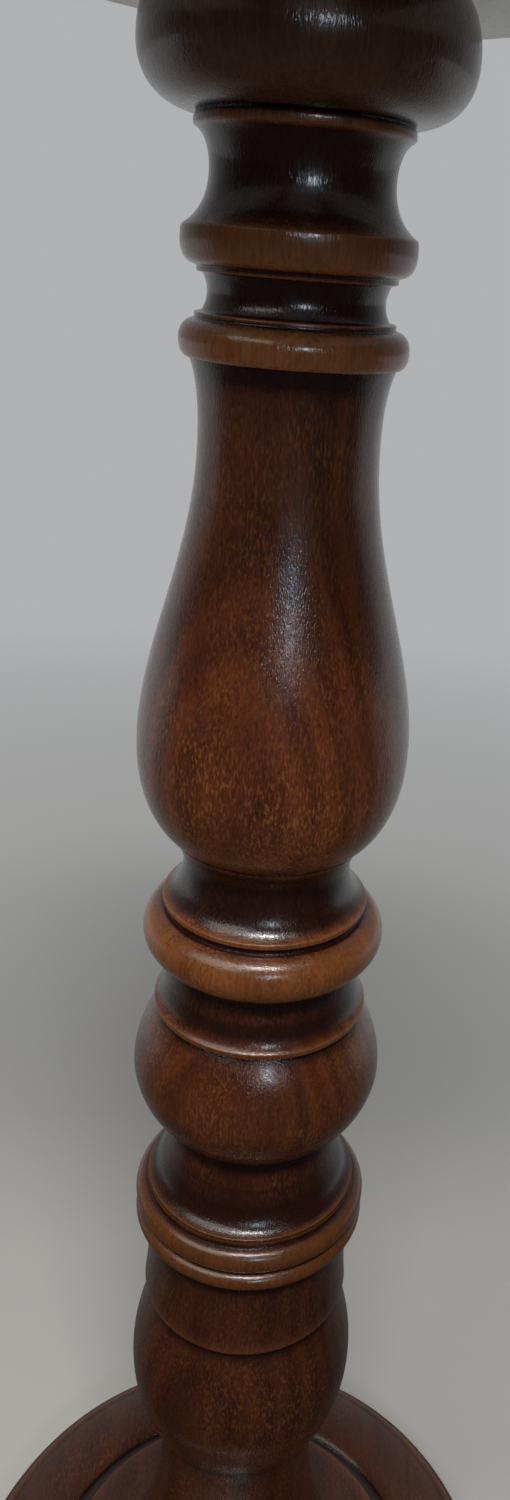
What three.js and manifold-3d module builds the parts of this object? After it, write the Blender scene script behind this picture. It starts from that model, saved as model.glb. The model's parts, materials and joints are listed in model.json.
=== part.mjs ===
// Tilt top table: a turned hardwood pedestal on a round base, with an octagonal stone top
// that tips up on two pivots and is locked flat by a sliding brass bolt.
// Millimetres, +Z up. The origin is on the floor, at the centre of the base. The top's catch
// is on the +Y side, and the top tips up about its pivots on the -Y side. The bolt is drawn
// back, so the top is free to tip.

import * as THREE from 'three';
import { mergeVertices } from 'three/addons/utils/BufferGeometryUtils.js';
import Module from 'manifold-3d';

const wasm = await Module();
wasm.setup();

// ---------------------------------------------------------------- driving dimensions

const GAP = 0.3; // clearance kept between pieces that touch
const OVERCUT = 2; // how far a cutter runs past the face that it cuts
const JOIN_OVERLAP = 0.5; // how far two joined shapes run into each other
const COLUMN_SEGMENTS = 24;
const BASE_SEGMENTS = 32;
const SMALL_SEGMENTS = 10;
const CURVE_STEPS = 3;

// Heights of the seams between the turned pieces, from the floor up.
const BASE_TOP = 24;
const FOOT_TOP = 161;
const LOWER_BULB_TOP = 242;
const LOWER_COLLAR_TOP = 302;
const BALL_TOP = 388;
const MIDDLE_COLLAR_TOP = 433;
const VASE_TOP = 624;
const UPPER_COLLAR_TOP = 690;
const CAPITAL_TOP = 725.5;
const TABLE_HEIGHT = 760;

// Base plate.
const BASE_RADIUS = 135.5;
const BASE_RIM_THICKNESS = 16;
const BASE_STEP_RADIUS = 87.6;
const BASE_HOLLOW_RADIUS = 108;
const BASE_HOLLOW_DEPTH = 3;
const BASE_SOCKET_FLOOR = 15;

// Tenons, the bore for the tie rod and the rod's own parts.
const TENON_RADIUS = 16;
const TENON_LENGTH = 13;
const BASE_TENON_LENGTH = 8.5;
const SOCKET_CLEARANCE = 0.5;
const BORE_RADIUS = 6;
const ROD_RADIUS = 5;
const NUT_ACROSS_CORNERS = 19.6;
const NUT_THICKNESS = 6;
const WASHER_RADIUS = 13;
const WASHER_THICKNESS = 1.6;
const BASE_RECESS_TOP = 13;
const RECESS_RADIUS = 14.5;
const BLOCK_RECESS_FLOOR = 731;
const ROD_PROUD = 1; // how far the rod stands out of its lower nut
const DOWEL_X = 24;
const DOWEL_RADIUS = 3;
const DOWEL_LENGTH = 14;

// Stone top.
const TOP_ACROSS_FLATS = 342;
const TOP_THICKNESS = 19;
const TOP_EDGE_CHAMFER = 2;

// Tilting block, bearers and pivots.
const BLOCK_WIDTH = 60;
const BLOCK_REAR = 58;
const BLOCK_SIDE_CLEARANCE = 1;
const PIVOT_Y = -52;
const PIVOT_RADIUS = 2.5;
const PIVOT_HOLE_RADIUS = 2.9;
const PIVOT_HEAD_RADIUS = 4.6;
const PIVOT_HEAD_THICKNESS = 2;
const PIVOT_DEPTH = 14; // how far a pivot's hole runs into the block
const PIVOT_END_CLEARANCE = 1;
const BEARER_WIDTH = 17;
const BEARER_HALF_LENGTH = 130;
const BEARER_HEIGHT = 13.5;
const BEARER_END_HEIGHT = 6;
const BEARER_END_TAPER = 26;
const BEARER_END_ROUND = 2;
const SCREW_PLACES = [-104, 0, 104];
const SCREW_RADIUS = 2;
const SCREW_HEAD_RADIUS = 4;
const SCREW_HEAD_DEPTH = 2.6;
const SCREW_SINK = 3.5; // depth of the counterbore for a screw's head
const SCREW_LENGTH = 18;
const SCREW_SLOT_WIDTH = 0.9;
const SCREW_SLOT_DEPTH = 0.8;
const INSERT_RADIUS = 3.6;
const INSERT_LENGTH = 10;

// Catch.
const CATCH_FRONT = 62;
const CATCH_LENGTH = 36;
const CATCH_WIDTH = 24;
const CATCH_WALL = 1.5;
const PLATE_WIDTH = 44;
const PLATE_THICKNESS = 2;
const CATCH_SCREW_X = 17;
const CATCH_SCREW_LENGTH = 12;
const BOLT_WIDTH = 9;
const BOLT_HEIGHT = 6;
const BOLT_LENGTH = 30;
const BOLT_CHAMFER = 1.2;
const BOLT_FRONT = 62.5; // the nose, just inside the case's front
const PULL_SETBACK = 20; // from the bolt's nose back to its pull
const PULL_STEM_RADIUS = 1.8;
const PULL_GRIP_RADIUS = 4;
const PULL_GRIP_HEIGHT = 6;
const PULL_LENGTH = 12;
const BOLT_TRAVEL = 10.5; // the bolt reaches 6 mm into the block
const POCKET_DEPTH = 7.5;
const POCKET_CLEARANCE = 0.5; // all round the bolt
const STRIKE_THICKNESS = 1.5;
const STRIKE_LENGTH = 34;
const STRIKE_HEIGHT = 11;
const STRIKE_SCREW_X = 12.5;
const STRIKE_SCREW_RADIUS = 1.4;
const STRIKE_SCREW_LENGTH = 11;
const STRIKE_HEAD_RADIUS = 2.4;
const STRIKE_HEAD_THICKNESS = 1;

// Worked out from the dimensions above.
const topUnderside = TABLE_HEIGHT - TOP_THICKNESS;
const blockBottom = CAPITAL_TOP + GAP;
const blockTop = topUnderside - GAP;
const pivotZ = (blockBottom + blockTop) / 2;
const blockEndRadius = (blockTop - blockBottom) / 2;
const bearerX = BLOCK_WIDTH / 2 + BLOCK_SIDE_CLEARANCE + BEARER_WIDTH / 2;
const bearerTop = topUnderside - GAP;
const catchMiddle = CATCH_FRONT + CATCH_LENGTH / 2;
const pullY = BOLT_FRONT + PULL_SETBACK;

// ---------------------------------------------------------------- materials

function material(color, roughness, metalness) {
  return new THREE.MeshStandardMaterial({ color, roughness, metalness });
}
const walnut = material(0x5a3220, 0.35, 0);
const darkWalnut = material(0x3a2018, 0.4, 0);
const stone = material(0xb9b8b4, 0.5, 0);
const brass = material(0xa8863f, 0.35, 1);
const steel = material(0x8c8c8c, 0.4, 1);

const table = new THREE.Group();

function add(name, geometry, surface, x = 0, y = 0, z = 0) {
  const mesh = new THREE.Mesh(geometry, surface);
  mesh.name = name;
  mesh.position.set(x, y, z);
  table.add(mesh);
  return mesh;
}

// ---------------------------------------------------------------- solid helpers

// Spins a closed outline of (radius, height) points about Z.
function turned(points, segments) {
  return new THREE.LatheGeometry(points, segments).rotateX(Math.PI / 2);
}

function solid(geometry) {
  const bare = geometry.clone();
  bare.deleteAttribute('normal');
  bare.deleteAttribute('uv');
  const merged = mergeVertices(bare, 1e-4);
  return new wasm.Manifold(new wasm.Mesh({
    numProp: 3,
    vertProperties: new Float32Array(merged.attributes.position.array),
    triVerts: new Uint32Array(merged.index.array),
  }));
}

function geometryOf(body) {
  const mesh = body.getMesh();
  const geometry = new THREE.BufferGeometry();
  geometry.setAttribute('position', new THREE.BufferAttribute(mesh.vertProperties, 3));
  geometry.setIndex(new THREE.BufferAttribute(mesh.triVerts, 1));
  return geometry;
}

// Takes each cutter out of a geometry.
function cut(geometry, ...cutters) {
  const body = cutters.reduce((left, cutter) => left.subtract(solid(cutter)), solid(geometry));
  return geometryOf(body);
}

function join(...pieces) {
  return geometryOf(pieces.map(solid).reduce((left, right) => left.add(right)));
}

function span(middle, length) {
  return [middle - length / 2, middle + length / 2];
}

// A box between two faces on each axis.
function box([left, right], [front, rear], [bottom, top]) {
  const shape = new THREE.BoxGeometry(right - left, rear - front, top - bottom);
  return shape.translate((left + right) / 2, (front + rear) / 2, (bottom + top) / 2);
}

// A cylinder along Z.
function postZ(radius, bottom, top, x, y, segments = SMALL_SEGMENTS) {
  const shape = new THREE.CylinderGeometry(radius, radius, top - bottom, segments);
  return shape.rotateX(Math.PI / 2).translate(x, y, (bottom + top) / 2);
}

// A cylinder along X.
function postX(radius, left, right, y, z) {
  const shape = new THREE.CylinderGeometry(radius, radius, Math.abs(right - left), SMALL_SEGMENTS);
  return shape.rotateZ(Math.PI / 2).translate((left + right) / 2, y, z);
}

// A cylinder along Y.
function postY(radius, front, rear, x, z) {
  const shape = new THREE.CylinderGeometry(radius, radius, rear - front, SMALL_SEGMENTS);
  return shape.translate(x, (front + rear) / 2, z);
}

// Turns an extrusion whose shape was drawn in (Y, Z) so that it runs along X, centred on x.
function alongX(shape, width, x, curveSegments) {
  const geometry = new THREE.ExtrudeGeometry(shape, { depth: width, bevelEnabled: false, curveSegments });
  return geometry.rotateX(Math.PI / 2).rotateZ(Math.PI / 2).translate(x - width / 2, 0, 0);
}

// A half-round bead on an outline, from one height up to another.
function bead(path, radius, bulge, low, high) {
  path.absellipse(radius, (low + high) / 2, bulge, (high - low) / 2, -Math.PI / 2, Math.PI / 2, false, 0);
}

// One turned piece of the column. Its outline runs up the outside, from low to high; below it
// has a tenon, above it a socket for the next piece's tenon, and the bore runs right through.
function columnPiece(name, low, high, tenonLength, outline) {
  const path = new THREE.Path();
  outline(path);
  const socketRadius = TENON_RADIUS + SOCKET_CLEARANCE;
  const socketFloor = high - TENON_LENGTH - SOCKET_CLEARANCE;
  path.lineTo(socketRadius, high);
  path.lineTo(socketRadius, socketFloor);
  path.lineTo(BORE_RADIUS, socketFloor);
  path.lineTo(BORE_RADIUS, low - tenonLength);
  path.lineTo(TENON_RADIUS, low - tenonLength);
  path.lineTo(TENON_RADIUS, low);
  path.closePath();
  add(name, turned(path.getPoints(CURVE_STEPS), COLUMN_SEGMENTS), walnut);
}

// ---------------------------------------------------------------- base

function makeBase() {
  const rimCentre = BASE_RIM_THICKNESS / 2;
  const path = new THREE.Path();
  path.moveTo(BASE_HOLLOW_RADIUS, 0);
  path.lineTo(BASE_RADIUS - rimCentre, 0);
  bead(path, BASE_RADIUS - rimCentre, rimCentre, 0, BASE_RIM_THICKNESS);
  path.quadraticCurveTo(118, 19.5, 107, 18.5);
  path.quadraticCurveTo(99, 17.5, 96, 14.5);
  path.quadraticCurveTo(91, 13.5, 88.6, 19.5);
  path.lineTo(88.6, 22);
  path.lineTo(BASE_STEP_RADIUS, BASE_TOP);
  const socketRadius = TENON_RADIUS + SOCKET_CLEARANCE;
  path.lineTo(socketRadius, BASE_TOP);
  path.lineTo(socketRadius, BASE_SOCKET_FLOOR);
  path.lineTo(BORE_RADIUS, BASE_SOCKET_FLOOR);
  path.lineTo(BORE_RADIUS, BASE_RECESS_TOP);
  path.lineTo(RECESS_RADIUS, BASE_RECESS_TOP);
  path.lineTo(RECESS_RADIUS, BASE_HOLLOW_DEPTH);
  path.lineTo(BASE_HOLLOW_RADIUS - BASE_HOLLOW_DEPTH, BASE_HOLLOW_DEPTH);
  path.closePath();
  add('base_plate', turned(path.getPoints(CURVE_STEPS), BASE_SEGMENTS), darkWalnut);
}

// ---------------------------------------------------------------- column, from the floor up

function makeColumn() {
  columnPiece('column_foot', BASE_TOP + GAP, FOOT_TOP, BASE_TENON_LENGTH, (path) => {
    path.moveTo(63, BASE_TOP + GAP);
    path.lineTo(63, 27);
    path.bezierCurveTo(53, 51, 36.5, 90, 34.8, 135);
    path.quadraticCurveTo(34.8, 153, 37, FOOT_TOP);
  });
  columnPiece('lower_bulb', FOOT_TOP + GAP, LOWER_BULB_TOP, TENON_LENGTH, (path) => {
    path.moveTo(38, FOOT_TOP + GAP);
    path.bezierCurveTo(44.5, 169, 48.7, 184, 48.7, 199.5);
    path.bezierCurveTo(48.7, 217, 43.6, 229, 40.4, LOWER_BULB_TOP);
  });
  columnPiece('lower_collar', LOWER_BULB_TOP + GAP, LOWER_COLLAR_TOP, TENON_LENGTH, (path) => {
    path.moveTo(43.3, LOWER_BULB_TOP + GAP);
    path.lineTo(43.6, 244);
    path.quadraticCurveTo(41.4, 262, 43.2, 279);
    bead(path, 43.4, 4.1, 280.4, 288.4);
    bead(path, 42.6, 4.9, 288.8, 299.8);
    path.lineTo(42.8, LOWER_COLLAR_TOP);
  });
  columnPiece('middle_ball', LOWER_COLLAR_TOP + GAP, BALL_TOP, TENON_LENGTH, (path) => {
    path.moveTo(42.2, LOWER_COLLAR_TOP + GAP);
    path.lineTo(42.6, 303.6);
    path.bezierCurveTo(38.6, 304.6, 35.4, 309, 34.6, 320);
    path.lineTo(34.6, 334);
    path.bezierCurveTo(38, 337, 47.6, 345, 48.5, 359.5);
    path.bezierCurveTo(48.4, 371, 44, 380, 38.2, BALL_TOP);
  });
  columnPiece('middle_collar', BALL_TOP + GAP, MIDDLE_COLLAR_TOP, TENON_LENGTH, (path) => {
    path.moveTo(40.5, BALL_TOP + GAP);
    path.lineTo(40.9, 390.2);
    path.bezierCurveTo(38.2, 392.2, 36.4, 397, 36.4, 405);
    path.lineTo(36.6, 411);
    bead(path, 37, 8.2, 412, 430.8);
    path.lineTo(37, MIDDLE_COLLAR_TOP);
  });
  columnPiece('vase', MIDDLE_COLLAR_TOP + GAP, VASE_TOP, TENON_LENGTH, (path) => {
    path.moveTo(38, MIDDLE_COLLAR_TOP + GAP);
    path.lineTo(38.2, 435);
    path.bezierCurveTo(34.6, 436.6, 31.2, 440.4, 30.7, 450);
    path.quadraticCurveTo(31.6, 455.5, 35, 460.3);
    path.lineTo(34.6, 461.2);
    path.lineTo(36.2, 461.8);
    path.bezierCurveTo(43.4, 468.5, 47.9, 480, 47.9, 495);
    path.bezierCurveTo(47.9, 527, 33.4, 553, 29.9, 587);
    path.bezierCurveTo(28.7, 599, 28.6, 615, 32.4, VASE_TOP);
  });
  columnPiece('upper_collar', VASE_TOP + GAP, UPPER_COLLAR_TOP, TENON_LENGTH, (path) => {
    path.moveTo(33.8, VASE_TOP + GAP);
    path.bezierCurveTo(36.4, 625.8, 36.8, 633.2, 32.4, 634.9);
    path.lineTo(31, 635.3);
    path.lineTo(31, 637);
    path.lineTo(28.8, 637.4);
    path.quadraticCurveTo(25.7, 642.8, 28.8, 648);
    path.lineTo(30.6, 648.2);
    path.lineTo(30.6, 649.8);
    path.lineTo(31.4, 650.1);
    path.bezierCurveTo(35.4, 651, 36.2, 655, 35.5, 660.6);
    path.lineTo(34.8, 661.2);
    path.bezierCurveTo(30.4, 664, 27.6, 669, 27.6, 676);
    path.bezierCurveTo(27.6, 681.5, 29.4, 685.4, 31.8, 686.6);
    path.lineTo(32.4, 687);
    path.lineTo(32.4, 689);
    path.lineTo(31.8, UPPER_COLLAR_TOP);
  });
}

function makeCapital() {
  const path = new THREE.Path();
  path.moveTo(BORE_RADIUS, UPPER_COLLAR_TOP + GAP - TENON_LENGTH);
  path.lineTo(TENON_RADIUS, UPPER_COLLAR_TOP + GAP - TENON_LENGTH);
  path.lineTo(TENON_RADIUS, UPPER_COLLAR_TOP + GAP);
  path.lineTo(32, UPPER_COLLAR_TOP + GAP);
  path.bezierCurveTo(41.5, 691, 48.5, 696.5, 48.5, 707);
  path.bezierCurveTo(48.5, 716, 45, 724.2, 38, CAPITAL_TOP);
  path.lineTo(BORE_RADIUS, CAPITAL_TOP);
  path.closePath();
  const shape = turned(path.getPoints(CURVE_STEPS), COLUMN_SEGMENTS);
  const holes = [-DOWEL_X, DOWEL_X].map((x) => (
    postZ(DOWEL_RADIUS + GAP, CAPITAL_TOP - DOWEL_LENGTH / 2, CAPITAL_TOP + OVERCUT, x, 0)));
  add('capital_bulb', cut(shape, ...holes), darkWalnut);
}

// ---------------------------------------------------------------- tie rod

// A ring about the rod. Six segments make it a nut.
function ring(radius, bottom, thickness, segments) {
  const top = bottom + thickness;
  const hole = postZ(ROD_RADIUS + GAP, bottom - OVERCUT, top + OVERCUT, 0, 0);
  return cut(postZ(radius, bottom, top, 0, 0, segments), hole);
}

function makeTieRod() {
  const lowerWasherZ = BASE_RECESS_TOP - GAP - WASHER_THICKNESS;
  const lowerNutZ = lowerWasherZ - GAP - NUT_THICKNESS;
  const upperWasherZ = BLOCK_RECESS_FLOOR + GAP;
  const upperNutZ = upperWasherZ + WASHER_THICKNESS + GAP;
  add('tie_rod', postZ(ROD_RADIUS, lowerNutZ - ROD_PROUD, upperNutZ + NUT_THICKNESS, 0, 0), steel);
  add('tie_rod_lower_washer', ring(WASHER_RADIUS, lowerWasherZ, WASHER_THICKNESS), steel);
  add('tie_rod_lower_nut', ring(NUT_ACROSS_CORNERS / 2, lowerNutZ, NUT_THICKNESS, 6), steel);
  add('tie_rod_upper_washer', ring(WASHER_RADIUS, upperWasherZ, WASHER_THICKNESS), steel);
  add('tie_rod_upper_nut', ring(NUT_ACROSS_CORNERS / 2, upperNutZ, NUT_THICKNESS, 6), steel);
}

// ---------------------------------------------------------------- tilting block

// The block's front end is a half round about the pivots, so that it clears the turning top.
function makeBlock() {
  const side = new THREE.Shape();
  side.moveTo(BLOCK_REAR, blockBottom);
  side.lineTo(BLOCK_REAR, blockTop);
  side.lineTo(PIVOT_Y, blockTop);
  side.absarc(PIVOT_Y, pivotZ, blockEndRadius, Math.PI / 2, Math.PI * 1.5, false);
  side.closePath();
  const slab = alongX(side, BLOCK_WIDTH, 0, 6);

  const face = BLOCK_WIDTH / 2;
  const pivotHoles = [-1, 1].map((way) => (
    postX(PIVOT_HOLE_RADIUS, way * (face - PIVOT_DEPTH), way * (face + OVERCUT), PIVOT_Y, pivotZ)));
  const dowelHoles = [-DOWEL_X, DOWEL_X].map((x) => (
    postZ(DOWEL_RADIUS + GAP, blockBottom - OVERCUT, blockBottom + DOWEL_LENGTH / 2, x, 0)));
  const strikeHoles = [-STRIKE_SCREW_X, STRIKE_SCREW_X].map((x) => (
    postY(STRIKE_SCREW_RADIUS + GAP, BLOCK_REAR - STRIKE_SCREW_LENGTH, BLOCK_REAR + OVERCUT, x, pivotZ)));
  const rodHole = postZ(BORE_RADIUS, blockBottom - OVERCUT, blockTop, 0, 0);
  const nutRecess = postZ(RECESS_RADIUS, BLOCK_RECESS_FLOOR, blockTop + OVERCUT, 0, 0);
  const pocket = boltOpening(BLOCK_REAR - POCKET_DEPTH, BLOCK_REAR + OVERCUT);
  const cutters = [rodHole, nutRecess, pocket, ...pivotHoles, ...dowelHoles, ...strikeHoles];
  add('tilt_block', cut(slab, ...cutters), darkWalnut);

  const half = DOWEL_LENGTH / 2 - GAP;
  for (const [name, x] of [['left', -DOWEL_X], ['right', DOWEL_X]]) {
    add(`block_dowel_${name}`, postZ(DOWEL_RADIUS, CAPITAL_TOP - half, CAPITAL_TOP + half, x, 0), walnut);
  }
}

// The opening that the bolt slides into, in the block and in its strike plate.
function boltOpening(front, rear) {
  return box(
    span(0, BOLT_WIDTH + 2 * POCKET_CLEARANCE),
    [front, rear],
    span(pivotZ, BOLT_HEIGHT + 2 * POCKET_CLEARANCE),
  );
}

function makeStrike() {
  const front = BLOCK_REAR + GAP;
  const rear = front + STRIKE_THICKNESS;
  const places = [['left', -STRIKE_SCREW_X], ['right', STRIKE_SCREW_X]];
  const plate = box(span(0, STRIKE_LENGTH), [front, rear], span(pivotZ, STRIKE_HEIGHT));
  const holes = places.map(([, x]) => (
    postY(STRIKE_SCREW_RADIUS + GAP, front - OVERCUT, rear + OVERCUT, x, pivotZ)));
  add('strike_plate', cut(plate, boltOpening(front - OVERCUT, rear + OVERCUT), ...holes), brass);

  const headFront = rear + GAP;
  const headRear = headFront + STRIKE_HEAD_THICKNESS;
  for (const [name, x] of places) {
    const head = postY(STRIKE_HEAD_RADIUS, headFront, headRear, x, pivotZ);
    const tip = headFront - STRIKE_SCREW_LENGTH;
    const shank = postY(STRIKE_SCREW_RADIUS, tip, headFront + JOIN_OVERLAP, x, pivotZ);
    add(`strike_screw_${name}`, join(head, shank), brass);
  }
}

// ---------------------------------------------------------------- stone top

function insertPlaces() {
  const bearerPlaces = [-bearerX, bearerX].flatMap((x) => SCREW_PLACES.map((y) => [x, y]));
  const catchPlaces = [-CATCH_SCREW_X, CATCH_SCREW_X].map((x) => [x, catchMiddle]);
  return [...bearerPlaces, ...catchPlaces];
}

function makeTop() {
  const corner = TOP_ACROSS_FLATS / 2 / Math.cos(Math.PI / 8);
  const outline = [
    [0, topUnderside],
    [corner - TOP_EDGE_CHAMFER, topUnderside],
    [corner, topUnderside + TOP_EDGE_CHAMFER],
    [corner, TABLE_HEIGHT - TOP_EDGE_CHAMFER],
    [corner - TOP_EDGE_CHAMFER, TABLE_HEIGHT],
    [0, TABLE_HEIGHT],
  ].map(([radius, z]) => new THREE.Vector2(radius, z));
  const slab = new THREE.LatheGeometry(outline, 8, Math.PI / 8).rotateX(Math.PI / 2);
  const insertTop = topUnderside + INSERT_LENGTH;
  const holes = insertPlaces().map(([x, y]) => (
    postZ(INSERT_RADIUS + GAP, topUnderside - OVERCUT, insertTop + GAP, x, y)));
  add('stone_top', cut(slab, ...holes), stone);
  insertPlaces().forEach(([x, y], index) => {
    const sleeve = postZ(INSERT_RADIUS, topUnderside, insertTop, x, y);
    const bore = postZ(SCREW_RADIUS + GAP, topUnderside - OVERCUT, insertTop + OVERCUT, x, y);
    add(`threaded_insert_${index + 1}`, cut(sleeve, bore), brass);
  });
}

// ---------------------------------------------------------------- bearers and pivots

// A screw driven upwards, with its slotted flat head lowest, at z.
function screwUp(x, y, z, length) {
  const headTop = z + SCREW_HEAD_DEPTH;
  const head = postZ(SCREW_HEAD_RADIUS, z, headTop, x, y);
  const shank = postZ(SCREW_RADIUS, headTop - JOIN_OVERLAP, z + length, x, y);
  const slot = box(
    span(x, 2 * SCREW_HEAD_RADIUS + OVERCUT),
    span(y, SCREW_SLOT_WIDTH),
    [z - OVERCUT, z + SCREW_SLOT_DEPTH],
  );
  return cut(join(head, shank), slot);
}

function makeBearer(name, x) {
  const bottom = bearerTop - BEARER_HEIGHT;
  const end = BEARER_HALF_LENGTH;
  const side = new THREE.Shape();
  side.moveTo(-end, bearerTop);
  side.lineTo(-end, bearerTop - BEARER_END_HEIGHT);
  side.quadraticCurveTo(-end + BEARER_END_ROUND, bottom, -end + BEARER_END_TAPER, bottom);
  side.lineTo(end - BEARER_END_TAPER, bottom);
  side.quadraticCurveTo(end - BEARER_END_ROUND, bottom, end, bearerTop - BEARER_END_HEIGHT);
  side.lineTo(end, bearerTop);
  side.closePath();
  const [left, right] = span(x, BEARER_WIDTH);
  const cutters = [postX(PIVOT_HOLE_RADIUS, left - OVERCUT, right + OVERCUT, PIVOT_Y, pivotZ)];
  for (const y of SCREW_PLACES) {
    cutters.push(postZ(SCREW_RADIUS + GAP, bottom - OVERCUT, bearerTop + OVERCUT, x, y));
    cutters.push(postZ(SCREW_HEAD_RADIUS + GAP, bottom - OVERCUT, bottom + SCREW_SINK, x, y));
  }
  add(`bearer_${name}`, cut(alongX(side, BEARER_WIDTH, x, 4), ...cutters), darkWalnut);

  const headZ = bottom + SCREW_SINK - SCREW_HEAD_DEPTH - GAP;
  SCREW_PLACES.forEach((y, index) => {
    add(`bearer_${name}_screw_${index + 1}`, screwUp(x, y, headZ, SCREW_LENGTH), steel);
  });
}

// A pin with a flat head, which goes in through the bearer and turns in the block.
function makePivot(name, way) {
  const inner = way * (BLOCK_WIDTH / 2 - PIVOT_DEPTH + PIVOT_END_CLEARANCE);
  const headInner = way * (bearerX + BEARER_WIDTH / 2 + GAP);
  const headOuter = headInner + way * PIVOT_HEAD_THICKNESS;
  const shaft = postX(PIVOT_RADIUS, inner, headInner + way * JOIN_OVERLAP, PIVOT_Y, pivotZ);
  const head = postX(PIVOT_HEAD_RADIUS, headInner, headOuter, PIVOT_Y, pivotZ);
  add(`pivot_pin_${name}`, join(shaft, head), steel);
}

// ---------------------------------------------------------------- catch

// A flat plate against the top, with a thin case under it that the bolt slides in.
function makeCatchCase() {
  const caseRear = CATCH_FRONT + CATCH_LENGTH;
  const plateTop = topUnderside - GAP;
  const plateBottom = plateTop - PLATE_THICKNESS;
  const plate = box(span(0, PLATE_WIDTH), [CATCH_FRONT, caseRear], [plateBottom, plateTop]);
  const places = [['left', -CATCH_SCREW_X], ['right', CATCH_SCREW_X]];
  const plateHoles = places.map(([, x]) => (
    postZ(SCREW_RADIUS + GAP, plateBottom - OVERCUT, plateTop + OVERCUT, x, catchMiddle)));
  add('catch_plate', cut(plate, ...plateHoles), brass);
  for (const [name, x] of places) {
    const headZ = plateBottom - GAP - SCREW_HEAD_DEPTH;
    add(`catch_screw_${name}`, screwUp(x, catchMiddle, headZ, CATCH_SCREW_LENGTH), steel);
  }

  const caseTop = plateBottom - GAP;
  const floor = pivotZ - BOLT_HEIGHT / 2 - GAP;
  const caseBottom = floor - CATCH_WALL;
  const shell = box(span(0, CATCH_WIDTH), [CATCH_FRONT, caseRear], [caseBottom, caseTop]);
  const inside = box(
    span(0, CATCH_WIDTH - 2 * CATCH_WALL),
    [CATCH_FRONT + CATCH_WALL, caseRear - CATCH_WALL],
    [floor, caseTop + OVERCUT],
  );
  const window = box(
    span(0, BOLT_WIDTH + 2 * GAP),
    [CATCH_FRONT - OVERCUT, CATCH_FRONT + CATCH_WALL + OVERCUT],
    span(pivotZ, BOLT_HEIGHT + 2 * GAP),
  );
  const stemRoom = PULL_STEM_RADIUS + GAP;
  const slot = box(
    span(0, 2 * stemRoom),
    [pullY - BOLT_TRAVEL - stemRoom, pullY + stemRoom],
    [caseBottom - OVERCUT, floor + OVERCUT],
  );
  add('catch_case', cut(shell, inside, window, slot), brass);
}

// The bolt, and the turned pull that is screwed into it from below.
function makeBolt() {
  const bottom = pivotZ - BOLT_HEIGHT / 2;
  const top = pivotZ + BOLT_HEIGHT / 2;
  const side = new THREE.Shape();
  side.moveTo(BOLT_FRONT + BOLT_CHAMFER, bottom);
  side.lineTo(BOLT_FRONT + BOLT_LENGTH, bottom);
  side.lineTo(BOLT_FRONT + BOLT_LENGTH, top);
  side.lineTo(BOLT_FRONT + BOLT_CHAMFER, top);
  side.lineTo(BOLT_FRONT, top - BOLT_CHAMFER);
  side.lineTo(BOLT_FRONT, bottom + BOLT_CHAMFER);
  side.closePath();
  const pullHole = postZ(PULL_STEM_RADIUS + GAP, bottom - OVERCUT, pivotZ, 0, pullY);
  add('catch_bolt', cut(alongX(side, BOLT_WIDTH, 0), pullHole), brass);

  const pullTop = pivotZ - GAP;
  const pullBottom = bottom - PULL_LENGTH;
  const gripTop = pullBottom + PULL_GRIP_HEIGHT;
  const grip = PULL_GRIP_RADIUS;
  const outline = new THREE.Path();
  outline.moveTo(0, pullBottom);
  outline.quadraticCurveTo(grip, pullBottom, grip, pullBottom + PULL_GRIP_HEIGHT / 2);
  outline.quadraticCurveTo(grip, gripTop, PULL_STEM_RADIUS, gripTop);
  outline.lineTo(PULL_STEM_RADIUS, pullTop);
  outline.lineTo(0, pullTop);
  add('catch_pull', turned(outline.getPoints(CURVE_STEPS), SMALL_SEGMENTS), brass, 0, pullY, 0);
}

makeBase();
makeColumn();
makeCapital();
makeTieRod();
makeBlock();
makeStrike();
makeTop();
makeBearer('left', -bearerX);
makeBearer('right', bearerX);
makePivot('left', -1);
makePivot('right', 1);
makeCatchCase();
makeBolt();

export default table;
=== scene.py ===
import json
import math

import bmesh
import bpy
import numpy as np
from mathutils import Matrix, Vector, noise


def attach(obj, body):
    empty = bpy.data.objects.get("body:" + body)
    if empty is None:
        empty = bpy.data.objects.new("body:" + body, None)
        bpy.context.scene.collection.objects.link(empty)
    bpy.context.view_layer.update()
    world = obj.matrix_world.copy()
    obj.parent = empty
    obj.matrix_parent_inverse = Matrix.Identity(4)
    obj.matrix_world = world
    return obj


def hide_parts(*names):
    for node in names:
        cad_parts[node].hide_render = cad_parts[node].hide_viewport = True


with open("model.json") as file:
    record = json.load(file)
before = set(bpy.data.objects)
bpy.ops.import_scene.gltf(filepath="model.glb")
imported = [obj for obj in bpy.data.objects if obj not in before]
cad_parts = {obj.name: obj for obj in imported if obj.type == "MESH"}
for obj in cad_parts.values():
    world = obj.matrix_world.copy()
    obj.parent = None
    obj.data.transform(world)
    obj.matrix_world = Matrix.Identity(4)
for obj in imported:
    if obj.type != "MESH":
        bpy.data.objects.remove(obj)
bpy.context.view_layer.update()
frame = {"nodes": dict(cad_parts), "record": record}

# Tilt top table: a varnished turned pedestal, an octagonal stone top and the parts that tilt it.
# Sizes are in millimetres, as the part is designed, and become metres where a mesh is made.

MM = 0.001

# ---------------------------------------------------------------- dimensions

GAP = 0.3
OVERCUT = 2
CURVE_STEP = 1.0
FEWEST_CURVE_STEPS = 4
FEWEST_BEAD_STEPS = 8
HALF_ROUND_STEPS = 20
LONGEST_STRAIGHT = 2.0
TURNED_SEGMENTS = 144
SMALL_SEGMENTS = 48
CORNER_EASE = 0.5
CORNER_EASE_SHARE = 0.45
TINY_LENGTH = 1e-6
TURNING_WOBBLE = 0.12
WOBBLE_LUMPS = 2.2
WOBBLE_HEIGHT = 26

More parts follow.
